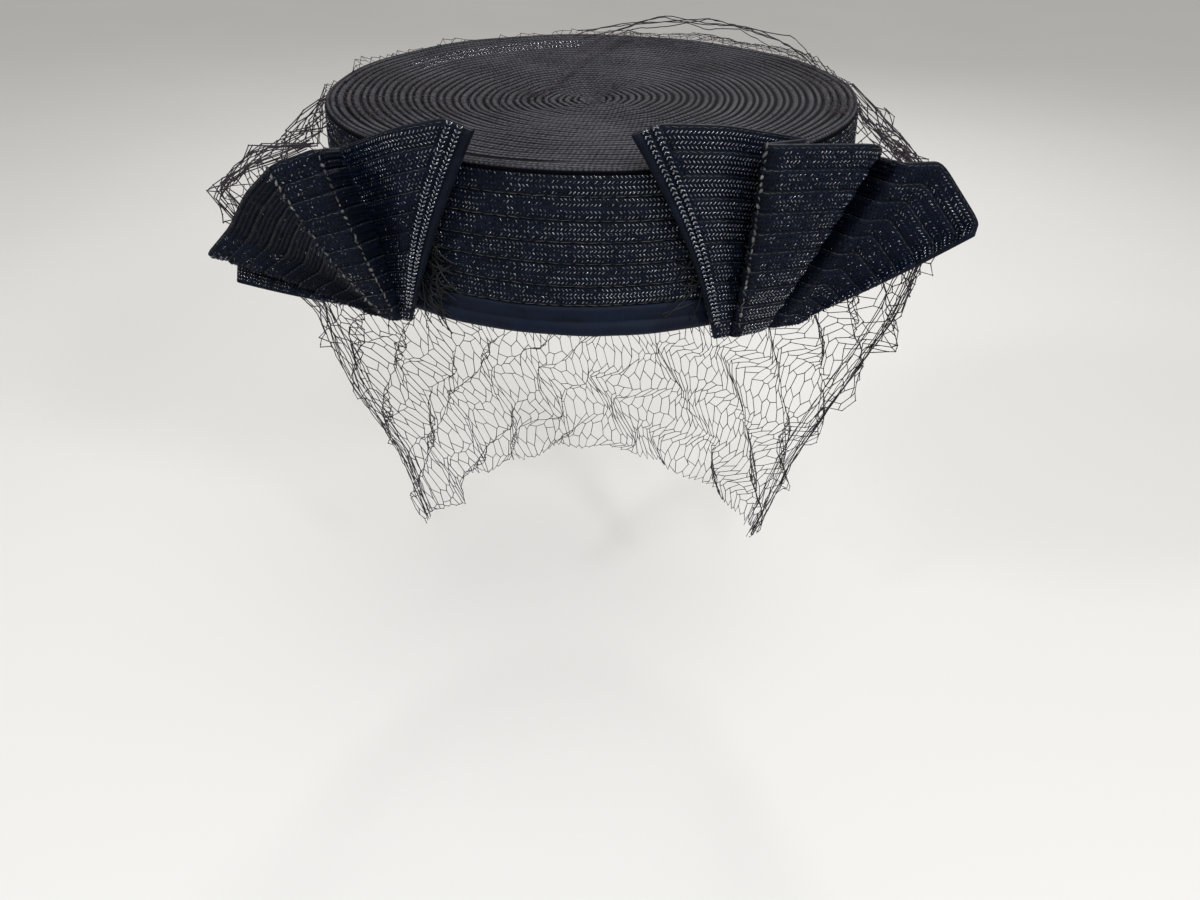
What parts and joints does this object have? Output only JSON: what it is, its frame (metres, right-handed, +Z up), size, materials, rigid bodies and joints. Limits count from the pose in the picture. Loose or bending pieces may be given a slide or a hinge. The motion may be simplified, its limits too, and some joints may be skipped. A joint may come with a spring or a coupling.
{
  "type": "pillbox hat",
  "caption": "Straw braid pillbox hat with a pleated straw fan at each side of the front and a net veil over the tip that hangs below the rim at the back.",
  "frame": {"origin": "middle of the head opening, in the plane of the rim", "axes": "+Z up through the crown, -Y toward the wearer's face, +X to the right as seen from the front"},
  "size_m": [0.239, 0.2065, 0.2266],
  "materials": {
    "matte_straw": "matte charcoal straw braid sewn in a spiral",
    "glossy_straw": "glossy near-black navy plaited straw braid",
    "ribbon": "dull dark navy ribbon",
    "net": "dull brown-navy knotted thread"
  },
  "bodies": {
    "root": {"crown_tip": "matte_straw", "side_band": "glossy_straw", "rim_binding": "ribbon", "left_fan": "glossy_straw", "left_fan_hem": "glossy_straw", "right_fan": "glossy_straw", "right_fan_hem": "glossy_straw", "veil": "net"}
  },
  "joints": []
}
